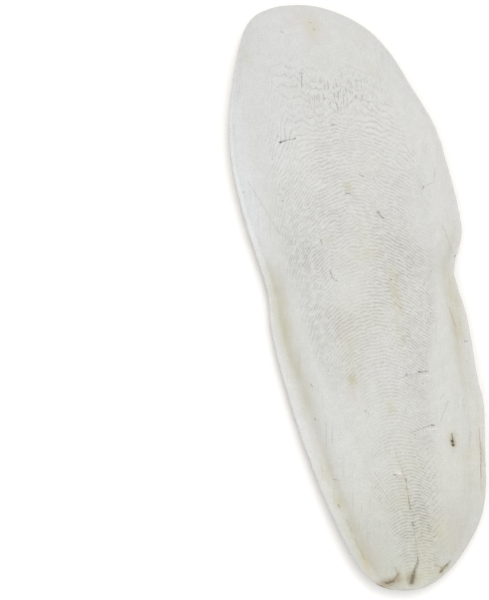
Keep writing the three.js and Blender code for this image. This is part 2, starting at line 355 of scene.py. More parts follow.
def line_through(knots, y):
    """The smooth curve through (along Y, value) knots, read at every y.

    It counts along the bone by the angle a = arccos(y / half length), so ends come out round. Between
    two knots it is the cubic that leaves and meets them with the slope from each knot's neighbours.
    """
    at, value = np.array(knots, float).T
    angle = np.arccos(np.clip(2 * at / DRAWN_LENGTH, -1, 1))
    before = np.r_[0, np.arange(len(angle) - 1)]
    after = np.r_[np.arange(1, len(angle)), len(angle) - 1]
    slope = (value[after] - value[before]) / (angle[after] - angle[before])
    here = np.arccos(np.clip(2 * np.asarray(y, float) / DRAWN_LENGTH, -1, 1))
    i = np.clip(np.searchsorted(angle, here, side="right") - 1, 0, len(angle) - 2)
    span = angle[i + 1] - angle[i]
    u = (here - angle[i]) / span
    rise = u * u * (3 - 2 * u)
    leave = u * (1 - u) ** 2 * span * slope[i]
    meet = u * u * (u - 1) * span * slope[i + 1]
    return value[i] + (value[i + 1] - value[i]) * rise + leave + meet


def steady(knots, y):
    """The straight-line curve through (along Y, value) knots, for values that must not overshoot."""
    at, value = np.array(knots, float).T
    return np.interp(y, at[::-1], value[::-1])


def ease(low, high, x):
    """0 below low and 1 above high, with the smooth step 3t^2 - 2t^3 between them."""
    t = np.clip((x - low) / (high - low), 0, 1)
    return t * t * (3 - 2 * t)


def bell(x, centre, width):
    """A bell curve of height 1: exp(-(x - centre)^2 / (2 width^2))."""
    return np.exp(-(((x - centre) / width) ** 2) / 2)


def drift(x, y, seed):
    """Smooth random heights from -1 to 1 over the plane.

    Each whole-number corner has a fixed random height, and inside a cell the four corner heights are
    mixed by the smooth step of the place in the cell.
    """
    size = 128
    corner = np.random.default_rng(seed).uniform(-1, 1, (size, size))
    left, low = np.floor(x).astype(int), np.floor(y).astype(int)
    u, v = x - left, y - low
    u, v = u * u * (3 - 2 * u), v * v * (3 - 2 * v)
    i, j = left % size, low % size
    k, m = (i + 1) % size, (j + 1) % size
    near = corner[i, j] * (1 - u) + corner[k, j] * u
    far = corner[i, m] * (1 - u) + corner[k, m] * u
    return near * (1 - v) + far * v


def layered(x, y, seed, layers=3):
    """drift added up in layers, each with twice the detail and half the height of the one before."""
    total = sum(drift(x * 2**n, y * 2**n, seed + n) / 2**n for n in range(layers))
    return total / (2 - 2 ** (1 - layers))


def station(y):
    """The outline's middle and half width, and the slope of each edge, where the bone is cut at y."""
    step = 0.05
    left, right = line_through(LEFT_EDGE, y), line_through(RIGHT_EDGE, y)
    inner = np.clip(y, step - DRAWN_LENGTH / 2, DRAWN_LENGTH / 2 - step)
    slopes = [
        (line_through(edge, inner + step) - line_through(edge, inner - step)) / (2 * step)
        for edge in (LEFT_EDGE, RIGHT_EDGE)
    ]
    return (left + right) / 2, (right - left) / 2, *slopes


def margin_height(y, half):
    """Height of the margin's middle: the keel's curve, plus the crown, which goes with the width squared."""
    keel = KEEL_RISE * np.abs(2 * (y - KEEL_LOW) / DRAWN_LENGTH) ** KEEL_POWER
    return keel + CROWN * (half / HALF_WIDTH) ** 2 + RIM


def plain_belly(y, half, across, inward):
    """Height of the belly without its relief: the margin and its rim, and the swelling less its hollow.

    The swelling is (1 - (1 - reach)^power)^ease, with reach going from 0 at the flange to 1 in the middle.
    """
    flange = line_through(FLANGE, y)
    room = np.maximum(half - flange, 1e-6)
    reach = np.clip((half * (1 - np.abs(across)) - flange) / room, 0, 1)
    swelling = (1 - (1 - reach) ** FLANK_POWER) ** FLANK_EASE
    hollow = line_through(FURROW, y) * swelling * bell(half * across, 0, FURROW_WIDTH)
    return margin_height(y, half) + rim_thickness(inward) + line_through(BELLY, y) * swelling - hollow


def on_belly(x, y):
    """Where the camera's view of a place on SEEN_LEVEL meets the belly in front of it.

    The place moves towards the one under the camera by the belly's height over SEEN_LEVEL, divided by
    the camera's.
    """
    middle, half, _, _ = station(y)
    across = np.clip((x - middle) / half, -1, 1)
    belly = plain_belly(y, half, across, half * (1 - np.abs(across))) - REST_FLAT
    share = (belly - SEEN_LEVEL) * SENSOR / (VIEW_HEIGHT * LENS)
    return x + (CAMERA_AIM[0] - x) * share, y + (CAMERA_AIM[1] - y) * share


def crack_at(y):
    """How far out on X the crack runs at each y."""
    knots = [on_belly(x, along)[::-1] for along, x in CRACK]
    return steady(knots, y)


class Places:
    """The grid's places in plan, with how far across from -1 to 1 and inward from the edge each lies."""

    def __init__(self, crest, across):
        """Row r crosses the middle at crest[r] and bends back by SWEEP to both edges, as a hyperbola.

        In the tail half the columns are drawn over by (1 - across^2)^2, so that the middle one runs down
        the crack.
        """
        sweep = steady(SWEEP, crest)[:, None]
        edge_y = crest[:, None] - sweep
        middle, half, _, _ = station(edge_y)
        bend = 0.4
        back = (np.sqrt(across**2 + bend**2) - bend) / (math.sqrt(1 + bend**2) - bend)
        follow = ease(-36, -52, crest[:, None]) * ease(-100, -97, crest[:, None])
        pull = follow * (crack_at(crest)[:, None] - middle) * (1 - across**2) ** 2
        self.x = middle + half * across + pull
        self.y = crest[:, None] - sweep * back
        middle, self.half, left_slope, right_slope = station(self.y)
        self.across = np.clip((self.x - middle) / np.maximum(self.half, 1e-6), -1, 1)
        self.across[:, np.abs(across) == 1] = across[np.abs(across) == 1]
        side = ease(-0.5, 0.5, self.across)
        slope = left_slope * (1 - side) + right_slope * side
        self.inward = self.half * (1 - np.abs(self.across)) / np.sqrt(1 + slope**2)
        self.on_left = self.across < 0
        side = np.sign(self.across)
        ragged = RAGGED * layered(self.y / 1.9, 3 * side, 5) * ease(0.8, 1, np.abs(self.across))
        self.x = self.x + ragged * side


def rim_thickness(inward):
    """Half the margin's thickness: a quarter circle of radius RIM from the edge inwards."""
    short = 1 - np.minimum(inward / RIM, 1)
    return RIM * np.sqrt(1 - short**2)


def falling(knots, x):
    """The straight-line curve through (out on X, fall) knots."""
    at, fall = np.array(knots, float).T
    return np.interp(x, at, fall)


def growth_phase(x, y):
    """How many growth lines lie between a place and the tail end, with its fraction, and the line's crest.

    A line falls from its crest by LINE_FALL, which goes over into TAIL_FALL in the tail half and into
    HEAD_LOBES in the head part. It dips by a bell at the crack and falls further on the flakes. The count
    is the sum of 1 / pitch along the crests, pushed about by drift, and in the head part it is drawn up
    into peaks by 1 - 2 |drift|.
    """
    off = x - steady(CREST_X, y)
    tail, head = ease(6, -62, y), ease(46, 63, y)
    fall = falling(LINE_FALL, off) * (1 - tail) + falling(TAIL_FALL, off) * tail
    fall = fall + 0.8 * bell(x, crack_at(y), 1.5) * ease(-48, -58, y)
    for side, top, foot in FLAKES:
        within = ease(top, top - FLAKE_TOP, y) * ease(foot, top - FLAKE_FOOT, y)
        fall = fall + FLAKE_FALL * ease(side, side + FLAKE_WIDTH, x) * within
    crest = y + fall * (1 - head) + falling(HEAD_LOBES, x) * head
    table = np.linspace(-120, 160, 2801)
    count = np.cumsum(1 / steady(LINE_PITCH, table)) * (table[1] - table[0])
    phase = np.interp(crest, table, count)
    phase = phase + steady(LINE_DRIFT, y) * layered(x / 4.2, y / 9, 11)
    phase = phase + steady(LINE_RIPPLE, y) * drift(x / 1.15, y / 4.5, 31)
    return phase - 0.42 * head * (1 - 2 * np.abs(drift(x / 2.4, y / 9, 41))), crest


def line_spacing(x, y, crest):
    """How far apart the growth lines look, and how many of them are crossed in a millimetre across.

    The first is the root of their plain pitch times their true spacing, which is one over the length of
    the count's gradient, taken over short steps.
    """
    step = 0.05
    here = growth_phase(x, y)[0]
    across = (growth_phase(x + step, y)[0] - here) / step
    along = (growth_phase(x, y + step)[0] - here) / step
    return np.sqrt(steady(LINE_PITCH, crest) / np.maximum(np.hypot(across, along), 0.2)), np.abs(across)


def striped_zone(x, y):
    """1 between LINES_LEFT and LINES_RIGHT and 0 outside, with a smooth step at each."""
    return ease(-1.5, 2.5, x - steady(LINES_LEFT, y)) * ease(-1.5, 2.5, steady(LINES_RIGHT, y) - x)


def patches(x, y, table):
    """The sum of soft patches, each its strength times a bell across and a bell along."""
    parts = [
        strength * bell(x, at_x, across) * bell(y, at_y, along)
        for at_x, at_y, across, along, strength in table
    ]
    return sum(parts)


def lines_seen(x, y, crest):
    """How clearly the growth lines show: in the striped zone, more in bold patches and less in worn ones."""
    uneven = 0.78 + 0.5 * layered(x / 6, y / 8, 51)
    clear = np.clip(uneven + patches(x, y, BOLD_PATCHES) - patches(x, y, WORN_PATCHES), 0.1, 1.8)
    return striped_zone(x, y) * steady(LINES_SEEN, crest) * clear


def lines_broken(x, y):
    """How far the growth lines are broken into beads, 0 to 1: in four patches of the tail half."""
    return np.clip(1.3 * patches(x, y, BROKEN_PATCHES) + 0.25 * layered(x / 3, y / 3, 61), 0, 1)


def off_segment(x, y, x0, y0, x1, y1):
    """The distance in plan from each place to the straight line between two points."""
    run, climb = x1 - x0, y1 - y0
    share = np.clip(((x - x0) * run + (y - y0) * climb) / (run**2 + climb**2), 0, 1)
    return np.hypot(x - x0 - share * run, y - y0 - share * climb)


def edge_grooves(place, left, right, spread):
    """A value for each edge, each a list along the bone, spread as a bell over that edge's groove."""
    on_left = steady(left, place.y) * bell(place.inward, steady(LEFT_GROOVE, place.y), spread)
    on_right = steady(right, place.y) * bell(place.inward, steady(RIGHT_GROOVE, place.y), spread)
    return np.where(place.on_left, on_left, on_right)


def belly_relief(place):
    """Heights of the belly: its plain height, less the fine relief, each a plain sum."""
    x, y = place.x, place.y
    plain = plain_belly(y, place.half, place.across, place.inward)
    waves = WAVES * layered(x / 13, y / 22, 71) + RIPPLES * layered(x / 3.4, y / 5, 77)
    streaks = STREAKS * layered(x / 1.8, y / 26, 81) * ease(16, 24, np.abs(x))
    crack = steady(CRACK_DEPTH, y) * bell(x, crack_at(y), steady(CRACK_SPREAD, y))
    cut = edge_grooves(place, LEFT_GROOVE_DEPTH, RIGHT_GROOVE_DEPTH, EDGE_GROOVE_SPREAD) + crack
    for x0, y0, x1, y1, spread, depth in SCARS.values():
        cut = cut + depth * bell(off_segment(x, y, *on_belly(x0, y0), *on_belly(x1, y1)), 0, spread)
    return plain + (waves + streaks) * ease(1, 6, place.inward) - cut * ease(0, 0.8, place.inward)


def back_relief(place, phase):
    """Heights of the back: the margin's underside bowed down as a parabola, cut flat where it rests.

    A low ridge runs down its middle between two shallow troughs, and its growth lines are small waves.
    """
    bow = CROWN * (place.half / HALF_WIDTH) ** 2 * (1 - place.across**2)
    plain = margin_height(place.y, place.half) - rim_thickness(place.inward) - bow
    off = place.half * place.across
    ridge = RIDGE * bell(off, 0, 3.2) - TROUGH * bell(np.abs(off), 8.5, 3)
    waves = BACK_LINES * np.cos(2 * np.pi * phase) + BACK_WAVES * layered(place.x / 9, place.y / 12, 91)
    return np.maximum(plain - (ridge + waves) * ease(1, 6, place.inward), REST_FLAT)


def back_phase(x, y):
    """Growth lines of the back: arches BACK_PITCH apart that fall off as a hyperbola on both sides."""
    fall = 0.9 * (np.sqrt(x**2 + 12**2) - 12)
    return (y + fall) / BACK_PITCH + 0.35 * layered(x / 8, y / 8, 95)


def stain_share(x, y, tint):
    """How much of a tint lies at each place: one less the product of what each soft patch leaves clear.

    A patch is a bell on its distance, counted in its two reaches, from places pushed about by drift.
    """
    x, y = x + 0.5 * layered(x / 1.6, y / 1.6, 101), y + 0.5 * layered(x / 1.6, y / 1.6, 107)
    clear = np.ones_like(x)
    for seen_x, seen_y, across, along, strength in STAINS[tint]:
        at_x, at_y = on_belly(seen_x, seen_y)
        clear = clear * (1 - strength * bell(x, at_x, across) * bell(y, at_y, along))
    return 1 - clear


def spaced_rows():
    """Where the rows cross the middle: equal steps of the sum of 1 / spacing, from the head end down."""
    fine = np.linspace(DRAWN_LENGTH / 2, -DRAWN_LENGTH / 2, 8001)
    count = np.cumsum(1 / steady(ROW_SPACING, fine))
    count = (count - count[0]) / (count[-1] - count[0])
    return np.interp(np.arange(1, ROWS) / ROWS, count, fine)


def spaced_columns(count):
    """Places across from -1 to 1, closer together down the middle and much closer at the edges."""
    fine = np.linspace(-1, 1, 4001)
    spacing = 1 - 0.4 * bell(fine, 0, 0.12) - 0.85 * ease(0.84, 1, np.abs(fine))
    total = np.cumsum(1 / spacing)
    total = (total - total[0]) / (total[-1] - total[0])
    return np.interp(np.arange(count + 1) / count, total, fine)


def bone_points(settings):
    """The grid's points in metres and its named values, as two blocks: belly columns, then back columns."""
    crest = spaced_rows()
    belly = Places(crest, -spaced_columns(BELLY_COLUMNS))
    back = Places(crest, spaced_columns(BACK_COLUMNS)[1:-1])

    phase, line_crest = growth_phase(belly.x, belly.y)
    pitch, crowding = line_spacing(belly.x, belly.y, line_crest)
    paired = ease(1.25, 1.9, crowding)
    seen = lines_seen(belly.x, belly.y, line_crest)
    from_groove = (0.5 - np.abs(phase - np.floor(phase) - 0.5)) * pitch
    groove = bell(from_groove, 0, GROOVE_REACH)
    tops = belly_relief(belly)
    clear_of_edge = ease(0.5, 3, belly.inward) * ease(0.9, 0.5, crowding)
    tops = tops - settings.line_depth / DRAWN * seen * groove * clear_of_edge
    under_phase = back_phase(back.x, back.y)
    bottoms = back_relief(back, under_phase)

    x = np.hstack([belly.x, back.x])
    y = np.hstack([belly.y, back.y])
    z = np.hstack([tops, bottoms]) - REST_FLAT
    inward = np.hstack([belly.inward, back.inward])
    on_left = np.hstack([belly.on_left, back.on_left])
    under = np.zeros_like(back.x)
    patchy = 1 + 1.1 * layered(belly.x / 1.6, belly.y / 5, 121)
    aged = np.clip(steady(AGED, y) + 0.12 * layered(x / 9, y / 14, 111), 0, 1)
    # Painted highlight: lightens the lines left of the middle in the tail half as if their ridges caught the
    # light
    ridge_highlight = 0.25 * bell(x, -20, 6) * ease(-92, -40, y)
    tail_flank = ease(-60, -82, y) * (1 - striped_zone(x, y))
    groove_tan = np.clip(edge_grooves(belly, LEFT_TAN, RIGHT_TAN, TAN_SPREAD) * patchy, 0, 1)
    values = {
        "phase": np.hstack([phase, under_phase]),
        "pitch": np.hstack([pitch * (1 - 0.3 * paired), under + BACK_PITCH]),
        "paired": np.hstack([paired, under]),
        "lines": np.hstack([seen, under + 1]),
        "broken": np.hstack([lines_broken(belly.x, belly.y), under]),
        "inward": inward,
        "aged": aged * (1 - 0.5 * ease(8, 2, inward)),
        # Darker at the head, in a patch on the right and on the tail's flanks; at the head this is partly
        # painted shade, as its slopes face the light
        "greyed_and_shaded": steady(GREYED_AND_SHADED, y) + 0.3 * bell(x, 20, 6) * bell(y, 36, 15) + 0.95 * tail_flank,
        # Left flank: its own bluish tone, brightened by painted light where it slopes away from the key
        "cool_and_lit": np.maximum(steady(FLANK_COOL_AND_LIT, y) * ease(steady(COOL_AND_LIT_REACH, y), 2, inward) * on_left, ridge_highlight),
        "strokes": bell(x, 3, 9) * bell(y, 66, 5.5),
        "flank": (1 - striped_zone(x, y)) * ease(0.6, 2.5, inward) * ease(90, 76, y),
        "groove_tan": np.hstack([groove_tan, under]),
        "worn": ease(0.7, 0.05, z),
    }
    for tint in STAINS:
        values[tint] = stain_share(x, y, tint)
    return np.stack([x, y, z], -1), values


def closed_mesh(name, rings, ends, values, end_values):
    """A mesh from rings of points: quads between neighbouring rings and a fan to a point at each end."""
    count, around = rings.shape[:2]
    points = np.vstack([ends[:1], rings.reshape(-1, 3), ends[1:]]) * DRAWN
    start = 1 + around * np.arange(count - 1)[:, None]
    step = np.arange(around)
    after = (step + 1) % around
    quads = np.stack([start + step, start + after, start + around + after, start + around + step], -1)
    last = 1 + around * (count - 1)
    tail = last + around
    head_fan = np.stack([np.zeros_like(step), 1 + after, 1 + step], -1)
    tail_fan = np.stack([np.full_like(step, tail), last + step, last + after], -1)
    corners = np.concatenate([quads.ravel(), head_fan.ravel(), tail_fan.ravel()])
    sizes = np.r_[np.full(quads.size // 4, 4), np.full(2 * around, 3)]

    mesh = bpy.data.meshes.new(name)
    mesh.vertices.add(len(points))
    mesh.vertices.foreach_set("co", points.astype(np.float32).ravel())
    mesh.loops.add(len(corners))
    mesh.loops.foreach_set("vertex_index", corners.astype(np.int32))
    mesh.polygons.add(len(sizes))
    mesh.polygons.foreach_set("loop_start", np.r_[0, np.cumsum(sizes)[:-1]].astype(np.int32))
    mesh.polygons.foreach_set("use_smooth", np.ones(len(sizes), bool))
    mesh.update(calc_edges=True)
    for key, grid in values.items():
        layer = mesh.attributes.new(key, "FLOAT", "POINT")
        whole = np.r_[end_values[key][0], grid.ravel(), end_values[key][1]]
        layer.data.foreach_set("value", whole.astype(np.float32))
    mesh.validate()
    return mesh


# ---------------------------------------------------------------- shader helpers


def fill(tree, socket, value):
    """Links an input where a socket is given, and sets it where a value is."""
    if isinstance(value, bpy.types.NodeSocket):
        tree.links.new(value, socket)
    else:
        socket.default_value = value


def add(tree, kind, values=None, **settings):
    """A new node with its settings, and its inputs linked where a socket is given or set where a value is."""
    node = tree.nodes.new(kind)
    for key, value in settings.items():
        setattr(node, key, value)
    for key, value in (values or {}).items():
        fill(tree, node.inputs[key], value)
    return node


def math_node(tree, operation, a, b=0.0, c=0.0):
    """The value of one sum on up to three sockets or numbers."""
    return add(tree, "ShaderNodeMath", {0: a, 1: b, 2: c}, operation=operation).outputs[0]


def times(tree, a, b):
    """a times b."""
    return math_node(tree, "MULTIPLY", a, b)


def plus(tree, a, b):
    """a plus b."""
    return math_node(tree, "ADD", a, b)


def minus(tree, a, b):
    """a less b."""
    return math_node(tree, "SUBTRACT", a, b)


def over(tree, a, b):
    """a divided by b."""
    return math_node(tree, "DIVIDE", a, b)


def times_plus(tree, a, b, c):
    """a times b, plus c."""
    return math_node(tree, "MULTIPLY_ADD", a, b, c)


def greater(tree, a, b):
    """The greater of two."""
    return math_node(tree, "MAXIMUM", a, b)


def mix_colour(tree, share, below, above, blend="MIX"):
    """Two colours mixed by a share."""
    node = add(tree, "ShaderNodeMix", data_type="RGBA", blend_type=blend)
    for index, value in ((0, share), (6, below), (7, above)):
        fill(tree, node.inputs[index], value)
    return node.outputs[2]


def new_group(name, inputs, outputs):
    """An empty node group: its inputs by name, each a vector or a number by its default, and its outputs.

    It gives the tree, the sockets that carry the inputs and the sockets that take the outputs.
    """
    tree = bpy.data.node_groups.new(name, "ShaderNodeTree")
    for label, default in inputs.items():
        kind = "NodeSocketVector" if isinstance(default, tuple) else "NodeSocketFloat"
        socket = tree.interface.new_socket(name=label, in_out="INPUT", socket_type=kind)
        socket.default_value = default
    for label in outputs:
        tree.interface.new_socket(name=label, in_out="OUTPUT", socket_type="NodeSocketFloat")
    return tree, tree.nodes.new("NodeGroupInput").outputs, tree.nodes.new("NodeGroupOutput").inputs


def place_group(tree, group, values):
    """One use of a node group, with its inputs filled in."""
    return add(tree, "ShaderNodeGroup", values, node_tree=group).outputs


def vector_node(tree, operation, a, b=(0.0, 0.0, 0.0)):
    """The result of one sum on two vectors."""
    return add(tree, "ShaderNodeVectorMath", {0: a, 1: b}, operation=operation).outputs[0]


def noise(tree, place, scale, detail=2.0, roughness=0.5):
    """Random values from about 0.25 to 0.75, with scale features to a drawn millimetre."""
    values = {"Vector": place, "Scale": scale, "Detail": detail, "Roughness": roughness}
    return add(tree, "ShaderNodeTexNoise", values).outputs


def smooth_step(tree, value, low, high):
    """0 at low and 1 at high, with a smooth step between them; low may be the greater."""
    values = {"Value": value, "From Min": low, "From Max": high}
    return add(tree, "ShaderNodeMapRange", values, interpolation_type="SMOOTHSTEP", clamp=False).outputs[0]


def limited(tree, value):
    """The value kept between 0 and 1."""
    return math_node(tree, "MINIMUM", greater(tree, value, 0.0), 1.0)


def attribute(tree, key):
    """One of the named values that the mesh carries."""
    return add(tree, "ShaderNodeAttribute", attribute_name=key).outputs["Fac"]


def off_half(tree, value):
    """How far the value's fraction is from a half."""
    return math_node(tree, "ABSOLUTE", minus(tree, math_node(tree, "FRACT", value), 0.5))


def growth_line_group():
    """Growth lines from a counted phase: a groove wherever the count is whole.

    The distance from a groove is (0.5 - |fraction - 0.5|) times the pitch. The count wavers by a fine
    noise, and a second noise leaves each line in dashes. Where lines are broken, a cosine across the bone
    cuts them into beads, shifted from each line to the next. Where they run in pairs every odd one fades.
    """
    tree, given, out = new_group(
        "Growth Lines",
        {
            "Position": (0, 0, 0), "Phase": 0.0, "Pitch": 1.2, "Seen": 1.0,
            "Broken": 0.0, "Paired": 0.0, "Reach": 0.3,
        },
        ["Groove"],
    )
    place = given["Position"]
    waver = times_plus(tree, noise(tree, place, WAVER_SCALE, 1.0)["Fac"], WAVER, -WAVER / 2)
    count = plus(tree, given["Phase"], waver)
    distance = times(tree, minus(tree, 0.5, off_half(tree, count)), given["Pitch"])
    groove = smooth_step(tree, distance, times(tree, given["Reach"], 2.0), 0.0)
    dashes = limited(tree, times_plus(tree, noise(tree, place, DASH_SCALE, 2.0)["Fac"], 3.0, -0.75))
    across = add(tree, "ShaderNodeSeparateXYZ", {0: place}).outputs[0]
    turn = plus(tree, times(tree, across, BEAD_TURN), times(tree, waver, BEAD_WAVER))
    turn = times_plus(tree, math_node(tree, "ROUND", count), BEAD_SHIFT, turn)
    bead = times_plus(tree, math_node(tree, "COSINE", turn), 0.5, 0.5)
    cut = times(tree, bead, given["Broken"])
    odd = smooth_step(tree, off_half(tree, times(tree, count, 0.5)), 0.36, 0.14)
    cut = greater(tree, cut, times(tree, odd, given["Paired"]))
    whole = minus(tree, 1.0, cut)
    groove = times(tree, times(tree, groove, dashes), whole)
    tree.links.new(times(tree, groove, given["Seen"]), out["Groove"])
    return tree


def grain_group():
    """The grain of dry chalk: a fine noise for its height, and a fine and a broad one for its tone."""
    values = {"Position": (0, 0, 0), "Size": 0.4}
    tree, given, out = new_group("Chalk Grain", values, ["Tone", "Height"])
    per_mm = over(tree, 1.0, given["Size"])
    fine = noise(tree, given["Position"], per_mm, 3.0, 0.6)["Fac"]
    broad = noise(tree, given["Position"], times(tree, per_mm, 0.13), 3.0, 0.6)["Fac"]
    both = plus(tree, times(tree, fine, 0.75), times(tree, broad, 0.25))
    tree.links.new(both, out["Tone"])
    tree.links.new(fine, out["Height"])
    return tree


def streak_group():
    """Thin strokes along the bone: a noise drawn out along Y, kept only where it is high."""
    tree, given, out = new_group(
        "Streaks",
        {"Position": (0, 0, 0), "Thickness": 0.4, "Length": 4.0, "Cover": 0.3},
        ["Mask"],
    )
    across, along, _ = add(tree, "ShaderNodeSeparateXYZ", {0: given["Position"]}).outputs
    lean = times_plus(tree, along, -0.2, across)
    thin = over(tree, lean, given["Thickness"])
    drawn_out = over(tree, along, given["Length"])
    stretched = add(tree, "ShaderNodeCombineXYZ", {0: thin, 1: drawn_out}).outputs[0]
    height = noise(tree, stretched, 1.0, 1.0)["Fac"]
    low = minus(tree, 0.76, times(tree, given["Cover"], 0.3))
    high = plus(tree, low, 0.14)
    tree.links.new(smooth_step(tree, height, low, high), out["Mask"])
    return tree


def speck_group():
    """Sparse dark specks: a dot at the random point of some cells, as dark as the cell's random share."""
    tree, given, out = new_group(
        "Specks",
        {"Position": (0, 0, 0), "Spacing": 4.0, "Radius": 0.1},
        ["Mask"],
    )
    per_mm = over(tree, 1.0, given["Spacing"])
    values = {"Vector": given["Position"], "Scale": per_mm}
    cells = add(tree, "ShaderNodeTexVoronoi", values, voronoi_dimensions="2D").outputs
    dot = smooth_step(tree, cells["Distance"], given["Radius"], 0.02)
    kept, dark, _ = add(tree, "ShaderNodeSeparateColor", {0: cells["Color"]}).outputs
    kept = smooth_step(tree, kept, 0.82, 0.86)
    tree.links.new(times(tree, times(tree, dot, kept), dark), out["Mask"])
    return tree


def stain_group():
    """A soft stain with a ragged edge: its share, made more or less by a noise, through a smooth step."""
    values = {"Position": (0, 0, 0), "Share": 0.0, "Patch": 1.5}
    tree, given, out = new_group("Ragged Stain", values, ["Mask"])
    per_mm = over(tree, 1.0, given["Patch"])
    patchy = noise(tree, given["Position"], per_mm, 3.0, 0.6)["Fac"]
    uneven = limited(tree, times_plus(tree, patchy, 2.4, -0.2))
    tree.links.new(times(tree, given["Share"], uneven), out["Mask"])
    return tree


def mark_group():
    """A fine straight mark: 1 within its half width of the line between two points, and soft outside."""
    tree, given, out = new_group(
        "Mark",
        {"Position": (0, 0, 0), "From": (0, 0, 0), "To": (0, 0, 0), "Half Width": 0.2, "Strength": 1.0},
        ["Mask"],
    )
    away = vector_node(tree, "SUBTRACT", given["Position"], given["From"])
    line = vector_node(tree, "SUBTRACT", given["To"], given["From"])
    shadow = add(tree, "ShaderNodeVectorMath", {0: away, 1: line}, operation="DOT_PRODUCT").outputs["Value"]
    square = add(tree, "ShaderNodeVectorMath", {0: line, 1: line}, operation="DOT_PRODUCT").outputs["Value"]
    share = limited(tree, over(tree, shadow, square))
    nearest = add(tree, "ShaderNodeVectorMath", {0: line, "Scale": share}, operation="SCALE").outputs[0]
    gap = vector_node(tree, "SUBTRACT", away, nearest)
    distance = add(tree, "ShaderNodeVectorMath", {0: gap}, operation="LENGTH").outputs["Value"]
    outer = times(tree, given["Half Width"], 1.5)
    inner = times(tree, given["Half Width"], 0.3)
    mask = smooth_step(tree, distance, outer, inner)
    tree.links.new(times(tree, mask, given["Strength"]), out["Mask"])
    return tree


def drawn_place(tree):
    """Object coordinates in drawn millimetres, whole and pressed flat onto the plan."""
    place = add(tree, "ShaderNodeTexCoord").outputs["Object"]
    place = add(tree, "ShaderNodeVectorMath", {0: place, "Scale": 1 / DRAWN}, operation="SCALE").outputs[0]
    return place, vector_node(tree, "MULTIPLY", place, (1, 1, 0))


def all_marks(tree, group, place, kind):
    """The strongest mark of one kind at each place."""
    strongest = 0.0
    for x0, y0, x1, y1, half_width, strength in MARKS[kind]:
        values = {
            "Position": place, "From": (*on_belly(x0, y0), 0), "To": (*on_belly(x1, y1), 0),
            "Half Width": half_width, "Strength": strength,
        }
        strongest = greater(tree, strongest, place_group(tree, group, values)["Mask"])
    return strongest


def new_material(name):
    """An empty node material."""
    material = bpy.data.materials.new(name)
    material.use_nodes = True
    material.node_tree.nodes.clear()
    return material, material.node_tree


def finish_material(tree, colour, roughness, height, specular):
    """The shader itself, with the height in drawn millimetres as its bump."""
    bump = add(tree, "ShaderNodeBump", {"Height": height, "Distance": DRAWN, "Strength": 1.0}).outputs[0]
    values = {"Base Color": colour, "Roughness": roughness, "Normal": bump}
    surface = add(tree, "ShaderNodeBsdfPrincipled", values)
    surface.inputs["Specular IOR Level"].default_value = specular
    end = add(tree, "ShaderNodeOutputMaterial")
    tree.links.new(surface.outputs[0], end.inputs[0])


